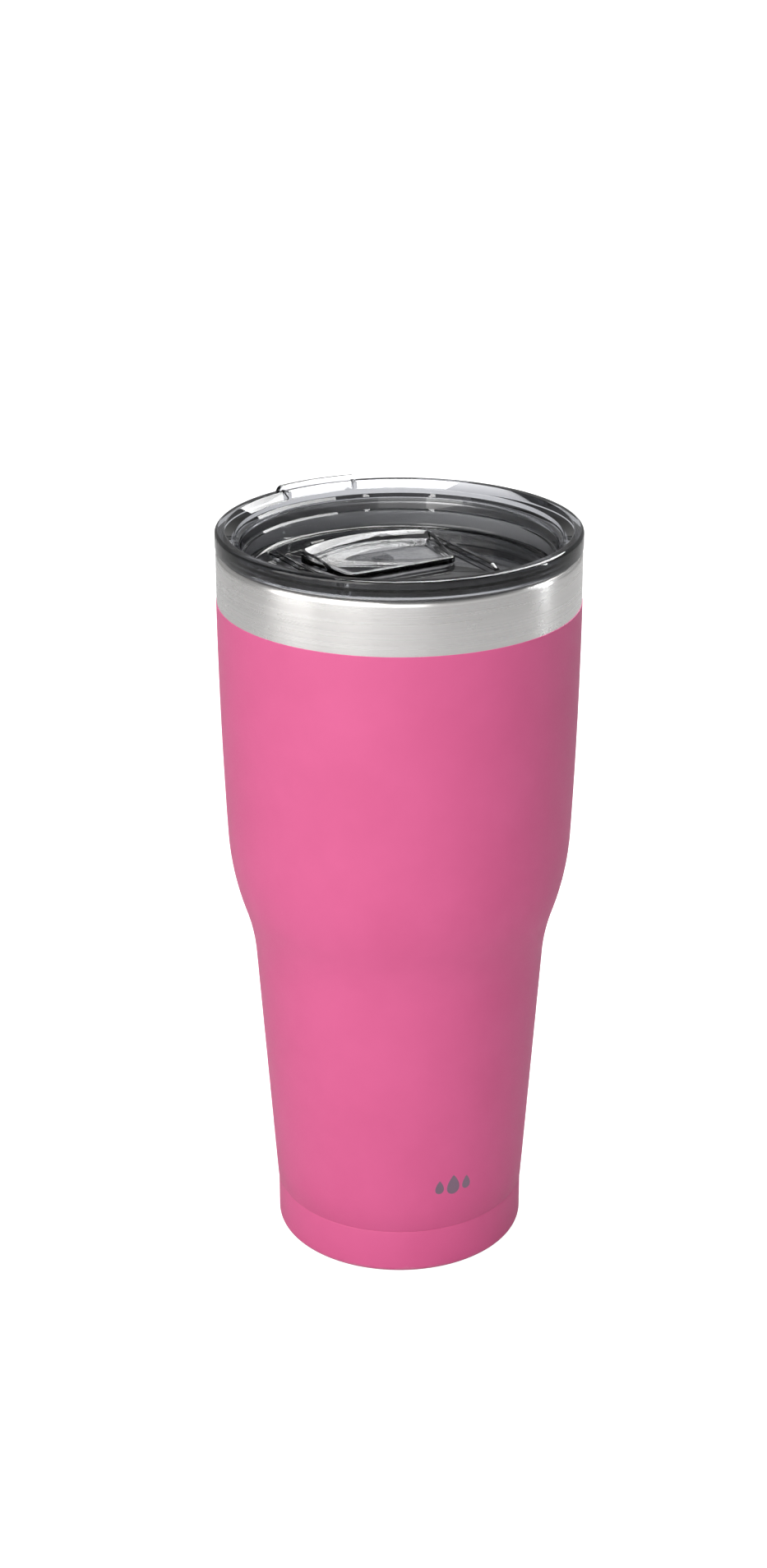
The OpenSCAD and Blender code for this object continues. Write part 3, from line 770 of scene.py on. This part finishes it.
def lipPiece():
    d = lid
    outR = d["flangeR"] - 0.3
    capR = d["lipThick"] / 2
    halfDeg = math.degrees(math.asin(d["lipWide"] / 2 / outR))
    soft = 1.4
    rings = []
    for i in range(33):
        share = (1 - math.cos(math.pi * i / 32)) / 2   # closer together at the ends
        deg = 90 - halfDeg + 2 * halfDeg * share
        toEnd = math.radians(min(deg - 90 + halfDeg, 90 + halfDeg - deg)) * outR
        drop = soft - math.sqrt(max(soft ** 2 - max(soft - toEnd, 0) ** 2, 0))
        crown = d["top"] + d["lipHigh"] - drop
        section = [(outR - 2 * capR - 0.25, d["top"] - 0.5), (outR - 2 * capR, d["top"] - 0.1)]
        cap = arc(outR - capR, crown - capR, capR, 180, 0, 10)
        section += [(x, max(z, d["top"] - 0.05)) for x, z in cap]
        section += [(outR, d["top"] - 0.1), (outR, d["top"] - 0.5)]
        turn = math.radians(deg)
        rings.append([lidPoint(r * math.cos(turn), r * math.sin(turn), z) for r, z in section])
    return bridgePiece("drinkingLip", rings)


def endRib(sign):
    d = lid
    ribWide, ribHigh = 1.1, 0.35
    turn = math.radians(90 + sign * math.degrees(math.asin((d["lipWide"] / 2 - ribWide) / d["flangeR"])))
    rings = []
    deep = d["funnelDeep"] + 0.5
    for r in (d["flangeR"] - d["topRing"] - d["funnelWide"] + 0.2, d["flangeR"] - 1.1):
        section = roundCorners([(-ribWide / 2, -deep, 0), (ribWide / 2, -deep, 0),
                                (ribWide / 2, ribHigh, 0.25), (-ribWide / 2, ribHigh, 0.25)], steps=3)
        rings.append([lidPoint(r * math.cos(turn) - x * math.sin(turn),
                               r * math.sin(turn) + x * math.cos(turn), d["top"] + z) for x, z in section])
    return bridgePiece("lipRib", rings)


def railPiece(sign):
    d = lid
    middle = sign * (d["railU"] + d["railWide"] / 2)
    far = math.sqrt((d["dishR"] - 2.4) ** 2 - (d["railU"] + d["railWide"]) ** 2)
    foot, crown = d["dishZ"] - 0.5, d["dishZ"] + d["railHigh"]
    section = roundCorners([(d["railFrom"], foot, 0), (far, foot, 0), (far, d["dishZ"], 0),
                            (far - d["railRamp"], crown, 2), (d["railFrom"] + d["railRamp"], crown, 2),
                            (d["railFrom"], d["dishZ"], 0)])
    half = d["railWide"] / 2
    rings = []
    for offset, shrink in ((-half, 0.22), (-half + 0.22, 0), (half - 0.22, 0), (half, 0.22)):
        rings.append([lidPoint(middle + offset, v, z - shrink if z > d["dishZ"] else z)
                      for v, z in section])
    return bridgePiece("guideRail", rings)


def makeLid():
    d = lid
    moulding = turnPiece("lidMoulding", lidOutline(), closed=False, steps=240)
    ventU, ventV, ventR = d["vent"]
    slotFrom = d["stemV"] - d["stemLong"] / 2 - d["stemPlay"]
    slotTo = slotFrom + d["stemLong"] + 2 * d["stemPlay"] + slideTravel
    combine(moulding, floorCutter("sipCut", sipRing), "DIFFERENCE")
    combine(moulding, floorCutter("slotCut", lambda more: slotRing(
        d["slotWide"] / 2 + more, slotFrom - more, slotTo + more)), "DIFFERENCE")
    combine(moulding, floorCutter("ventCut", lambda more: arc(
        ventU, ventV, ventR + more, 0, 345, 23)), "DIFFERENCE")
    combine(moulding, lipPiece(), "UNION")
    for sign in (-1, 1):
        combine(moulding, endRib(sign), "UNION")
        combine(moulding, railPiece(sign), "UNION")
    tidyShell(moulding)
    settle(moulding, "lid", "smoky_clear", smokyClear, "lid_body")


def makeGasket():
    # silicone ring with two round-edged fins that lean up
    d = lid
    seatR = d["plugR"] - d["grooveDepth"] + 0.03
    bodyR = d["plugR"] - 0.1
    finR = high("lid_gasket").x
    corners = [(seatR, d["grooveLow"], 0), (bodyR, d["grooveLow"], 0.15)]
    for rise in (0.7, 3.0):
        z = d["grooveLow"] + rise
        corners += [(bodyR, z, 0.12), (finR, z + 0.7, 0.2), (finR, z + 1.2, 0.2), (bodyR, z + 1.05, 0.12)]
    corners += [(bodyR, d["grooveTop"], 0.15), (seatR, d["grooveTop"], 0)]
    gasket = turnPiece("lidGasketRing", roundCorners(corners, steps=4), steps=240)
    settle(gasket, "lid", "silicone", silicone, "lid_gasket")


makeLid()
makeGasket()
print("lid done")

# ---- slider ----

slider = {"edgeR": 38.5, "wide": 21.0, "narrow": 17.0, "front": 3.0, "edgeHigh": 1.9, "thumbHigh": 3.5,
          "border": 1.3, "thumbTop": 2.6, "domeDrop": 1.2, "floor": 1.1, "step": 0.4, "roundover": 0.45,
          "stemV": lid["stemV"], "stemLong": lid["stemLong"], "stemWide": 5.4,
          "footHigh": 1.0, "footOut": 0.5, "pocket": 0.6, "rampFrom": 4.0, "rampTo": 17.0}
slider["plate"] = lid["dishZ"] + 0.3
slider["low"] = low("slider_body").z


def sliderRing(inset, backInset, corner, sideSteps=14, backSteps=26):
    # seen from above: straight front, slanted sides, curved back
    s = slider
    edge = s["edgeR"] - backInset
    wide = s["wide"] - inset
    narrow = s["narrow"] - inset
    frontV = inset - s["front"]
    kink = math.sqrt(edge ** 2 - wide ** 2) - slideTravel
    halfDeg = math.degrees(math.asin(wide / edge))
    back = arc(0, -slideTravel, edge, 90 - halfDeg, 90 + halfDeg, backSteps)[2:-2]
    shoulder = min(corner, 2)
    corners = [(-narrow, frontV, corner), (narrow, frontV, corner), (wide, kink, shoulder)]
    corners += [(u, v, 0) for u, v in back] + [(-wide, kink, shoulder)]
    ring = roundCorners(corners)
    arcLong = 6
    rightEnd, rightKink = 2 * arcLong - 1, 2 * arcLong
    leftKink = len(ring) - 1

    def between(one, two):
        return [(one[0] + (two[0] - one[0]) * i / sideSteps, one[1] + (two[1] - one[1]) * i / sideSteps)
                for i in range(1, sideSteps)]

    rightSide = between(ring[rightEnd], ring[rightKink])
    leftSide = between(ring[leftKink], ring[0])
    return ring[:rightKink] + rightSide + ring[rightKink:] + leftSide


def wallShare(v):
    # 0 at the low front edge, rising to 1 at the thumb wall
    s = slider
    share = min(max((v - s["rampFrom"]) / (s["rampTo"] - s["rampFrom"]), 0), 1)
    return (1 - math.cos(math.pi * share)) / 2


def borderTop(v):
    return slider["plate"] + slider["edgeHigh"] + (slider["thumbHigh"] - slider["edgeHigh"]) * wallShare(v)


def makeSlider():
    s = slider
    plate = s["plate"]
    soft = s["roundover"]
    rings = [[lidPoint(u, v, plate) for u, v in sliderRing(0.25, 0.25, 2.8)],
             [lidPoint(u, v, plate + 0.25) for u, v in sliderRing(0, 0, 3)]]
    for deg in (0, 30, 60, 90):
        leanSin, leanCos = slope(deg)
        inset = soft * (1 - leanCos)
        rings.append([lidPoint(u, v, borderTop(v) - soft + soft * leanSin)
                      for u, v in sliderRing(inset, inset, 3 - inset)])
    for share in (0, 0.15, 0.3, 0.45, 0.6, 0.75, 0.9, 1):
        leanSin, leanCos = slope(90 * (1 - share))
        inset = s["border"] - soft * (1 - leanCos)
        back = soft + (s["thumbTop"] - soft) * share
        # the thumb wall's top is a dome that falls towards the scoop
        drop = s["domeDrop"] * share ** 1.2
        rings.append([lidPoint(u, v, borderTop(v) - soft + soft * leanSin - drop * wallShare(v))
                      for u, v in sliderRing(inset, back, 3 - inset)])
    stepZ = plate + s["floor"] + s["step"]
    # the wall ends on a ledge, and the ledge steps down to the floor
    for inset, back, z in ((1.35, 2.75, stepZ + 0.1), (1.6, 3.0, stepZ), (2.4, 3.9, stepZ),
                           (2.6, 4.1, stepZ - 0.15), (2.6, 4.1, plate + s["floor"] + 0.1),
                           (2.75, 4.25, plate + s["floor"])):
        rings.append(flatRing(sliderRing(inset, back, max(3 - inset, 0.4)), z))
    moulding = bridgePiece("sliderMoulding", rings)
    combine(moulding, bridgePiece("pocketCut", [flatRing(sealRing(0), plate - 0.5),
                                                flatRing(sealRing(0), plate + s["pocket"])]), "DIFFERENCE")
    halfWide, halfLong = s["stemWide"] / 2, s["stemLong"] / 2
    stemRings = []
    for grow, z in ((s["footOut"] - 0.2, s["low"]), (s["footOut"], s["low"] + 0.2),
                    (s["footOut"], s["low"] + s["footHigh"] - 0.1), (0, s["low"] + s["footHigh"]),
                    (0, plate + 0.3)):
        right, front, rear = halfWide + grow, s["stemV"] - halfLong, s["stemV"] + halfLong
        box = [(-right, front, 0.5), (right, front, 0.5), (right, rear, 0.5), (-right, rear, 0.5)]
        stemRings.append(flatRing(roundCorners(box), z))
    combine(moulding, bridgePiece("stem", stemRings), "UNION")
    tidyShell(moulding)
    settle(moulding, "slider", "slider_clear", sliderClear, "slider_body")


def sealRing(inset):
    # rounded pad over the drinking opening, its back following the slider's edge
    middleV = (lid["sipIn"] + lid["sipOut"]) / 2 - slideTravel
    halfWide = lid["sipOut"] * slope(lid["sipHalfDeg"])[0] + 5 - inset
    front = middleV - 5.5 + inset
    edge = slider["edgeR"] - 0.95 - inset
    backV = math.sqrt(edge ** 2 - halfWide ** 2) - slideTravel
    backDeg = math.degrees(math.asin(halfWide / edge))
    back = arc(0, -slideTravel, edge, 90 - backDeg, 90 + backDeg, 16)[1:-1]
    corners = [(-halfWide, front, 2 - inset), (halfWide, front, 2 - inset), (halfWide, backV, 1.5 - inset)]
    corners += [(u, v, 0) for u, v in back[1:-1]] + [(-halfWide, backV, 1.5 - inset)]
    return roundCorners(corners)


def makeSeal():
    lowZ, topZ = low("slider_seal").z, high("slider_seal").z
    rings = [(0.25, lowZ), (0.08, lowZ + 0.15), (0.04, lowZ + 0.3), (0.04, topZ - 0.02)]
    seal = bridgePiece("sliderSealPad", [flatRing(sealRing(inset), z) for inset, z in rings])
    settle(seal, "slider", "silicone", silicone, "slider_seal")


def makeKeeper():
    s = slider
    lowZ, topZ = low("slider_keeper").z, high("slider_keeper").z

    def plateRing(halfU, halfV, inset, corner):
        return roundCorners([(inset - halfU, s["stemV"] + inset - halfV, corner),
                             (halfU - inset, s["stemV"] + inset - halfV, corner),
                             (halfU - inset, s["stemV"] + halfV - inset, corner),
                             (inset - halfU, s["stemV"] + halfV - inset, corner)])

    rings = [(0.3, lowZ), (0, lowZ + 0.3), (0, topZ - 0.3), (0.3, topZ)]
    keeper = bridgePiece("sliderKeeperClip", [flatRing(plateRing(8, 5, inset, 2), z) for inset, z in rings])
    hole = [flatRing(plateRing(s["stemWide"] / 2, s["stemLong"] / 2, -0.02, 0.5), z)
            for z in (lowZ - 0.5, topZ + 0.5)]
    combine(keeper, bridgePiece("keeperHole", hole), "DIFFERENCE")
    tidyShell(keeper)
    settle(keeper, "slider", "slider_clear", sliderClear, "slider_keeper")


makeSlider()
makeSeal()
makeKeeper()
print("slider done")

# ---- floor, light and camera ----

studio = {"front": 0.70, "behind": 0.34, "ceiling": 0.16, "backdrop": 1.0,
          # the floor's own tone, and its glow to the camera, through clear parts and in reflections
          "paper": 0.44, "paperSeen": 1.0, "paperThrough": 1.25, "paperMirrored": 0.12,
          # name: (azimuth from the front, elevation, distance, width, height, watts, colour)
          "lights": {"key": (-34, 28, 1.15, 0.6, 1.0, 6.8, (1.0, 0.985, 0.965)),
                     "frontFill": (-4, 20, 1.4, 1.0, 0.9, 3.8, (1.0, 0.99, 0.99)),
                     "overhead": (180, 84, 1.2, 0.6, 0.6, 12.0, (1.0, 1.0, 1.0)),
                     "rearFill": (180, 24, 1.4, 1.0, 0.9, 3.6, (1.0, 1.0, 1.0))},
          # soft panels that show only as gloss, on the steel and the clear parts
          "panels": {"rearPanel": (138, 54, 1.2, 0.9, 0.9, 26.0, (1.0, 1.0, 1.0)),
                     "leftPanel": (-66, 18, 1.15, 0.6, 1.0, 4.6, (1.0, 0.985, 0.965)),
                     "strip": (98, 10, 1.1, 0.03, 1.0, 2.0, (0.97, 0.99, 1.0))}}
aim = Vector((0, 0, 0.13))


def makeFloor():
    clearSelection()
    bpy.ops.mesh.primitive_plane_add(size=14, location=(0, 0, 0))
    floor = bpy.context.object
    floor.name = "studioFloor"
    # pale paper that the camera sees as white, also through the clear lid
    material, tree, shader = newMaterial("studioPaper", Roughness=0.9)
    shader.inputs["Specular IOR Level"].default_value = 0.0
    grain = useGroup(tree, fineGrain, GrainSize=1.5, MottleSize=400)
    pale, paler = studio["paper"], studio["paper"] * 1.03
    tree.links.new(mixColours(tree, grain.outputs["Mottle"], (pale, pale, pale), (paler, paler, paler)),
                   shader.inputs["Base Color"])
    path = addNode(tree, "ShaderNodeLightPath")
    seen = mathAt(tree, "MULTIPLY", path.outputs["Is Camera Ray"], studio["paperSeen"])
    through = mathAt(tree, "MULTIPLY", path.outputs["Is Transmission Ray"], studio["paperThrough"])
    shader.inputs["Emission Color"].default_value = (1, 1, 1, 1)
    mirrored = mathAt(tree, "MULTIPLY", path.outputs["Is Glossy Ray"], studio["paperMirrored"])
    glow = mathAt(tree, "ADD", mathAt(tree, "ADD", seen, through), mirrored)
    tree.links.new(glow, shader.inputs["Emission Strength"])
    floor.data.materials.append(material)


def makeLight(name, azimuth, elevation, distance, wide, high, watts, colour):
    a, e = math.radians(azimuth), math.radians(elevation)
    offset = Vector((math.sin(a) * math.cos(e), -math.cos(a) * math.cos(e), math.sin(e))) * distance
    lamp = bpy.data.lights.new(name, "AREA")
    lamp.shape = "RECTANGLE"
    lamp.size = wide
    lamp.size_y = high
    lamp.energy = watts
    lamp.color = colour
    holder = bpy.data.objects.new(name, lamp)
    bpy.context.scene.collection.objects.link(holder)
    holder.location = aim + offset
    holder.rotation_euler = (-offset).to_track_quat("-Z", "Y").to_euler()
    holder.visible_camera = False
    return holder


def makeLights():
    holders = {name: makeLight(name, *values) for name, values in studio["lights"].items()}
    holders["overhead"].visible_transmission = False
    holders["rearFill"].visible_glossy = False
    for name, values in studio["panels"].items():
        panel = makeLight(name, *values)
        panel.visible_diffuse = False
        panel.visible_transmission = False


def makeWorld():
    world = bpy.data.worlds.new("studioWorld")
    bpy.context.scene.world = world
    world.use_nodes = True
    tree = world.node_tree
    tree.nodes.clear()
    heading = addNode(tree, "ShaderNodeTexCoord").outputs["Generated"]
    way = addNode(tree, "ShaderNodeSeparateXYZ", {0: heading})
    around = spread(tree, way.outputs["Y"], -0.7, 0.3, studio["front"], studio["behind"])
    rise = spread(tree, way.outputs["Z"], 0.15, 0.75, 0, 1)
    dimming = mathAt(tree, "ADD", mathAt(tree, "MULTIPLY", rise, studio["ceiling"]),
                     mathAt(tree, "MULTIPLY", mathAt(tree, "SUBTRACT", 1.0, rise), around))
    room = addNode(tree, "ShaderNodeBackground", {"Color": (1, 1, 1, 1), "Strength": dimming})
    backdrop = addNode(tree, "ShaderNodeBackground",
                       {"Color": (1, 1, 1, 1), "Strength": studio["backdrop"]})
    path = addNode(tree, "ShaderNodeLightPath")
    mix = addNode(tree, "ShaderNodeMixShader", {0: path.outputs["Is Camera Ray"],
                                                1: room.outputs[0], 2: backdrop.outputs[0]})
    addNode(tree, "ShaderNodeOutputWorld", {"Surface": mix.outputs[0]})


def makeCamera():
    view = {"distance": 0.65825, "height": 0.41193, "downDeg": 22.406, "lens": 57.03, "shift": -0.0101}
    lens = bpy.data.cameras.new("frontCamera")
    lens.sensor_width = 36
    lens.lens = view["lens"]
    lens.shift_x = view["shift"]
    lens.clip_start = 0.01
    lens.clip_end = 60
    camera = bpy.data.objects.new("frontCamera", lens)
    bpy.context.scene.collection.objects.link(camera)
    camera.location = (0, -view["distance"], view["height"])
    camera.rotation_euler = (math.radians(90 - view["downDeg"]), 0, 0)
    bpy.context.scene.camera = camera


makeFloor()
makeLights()
makeWorld()
makeCamera()
bpy.context.scene.view_settings.view_transform = "Standard"
clearSelection()
print("studio ready")
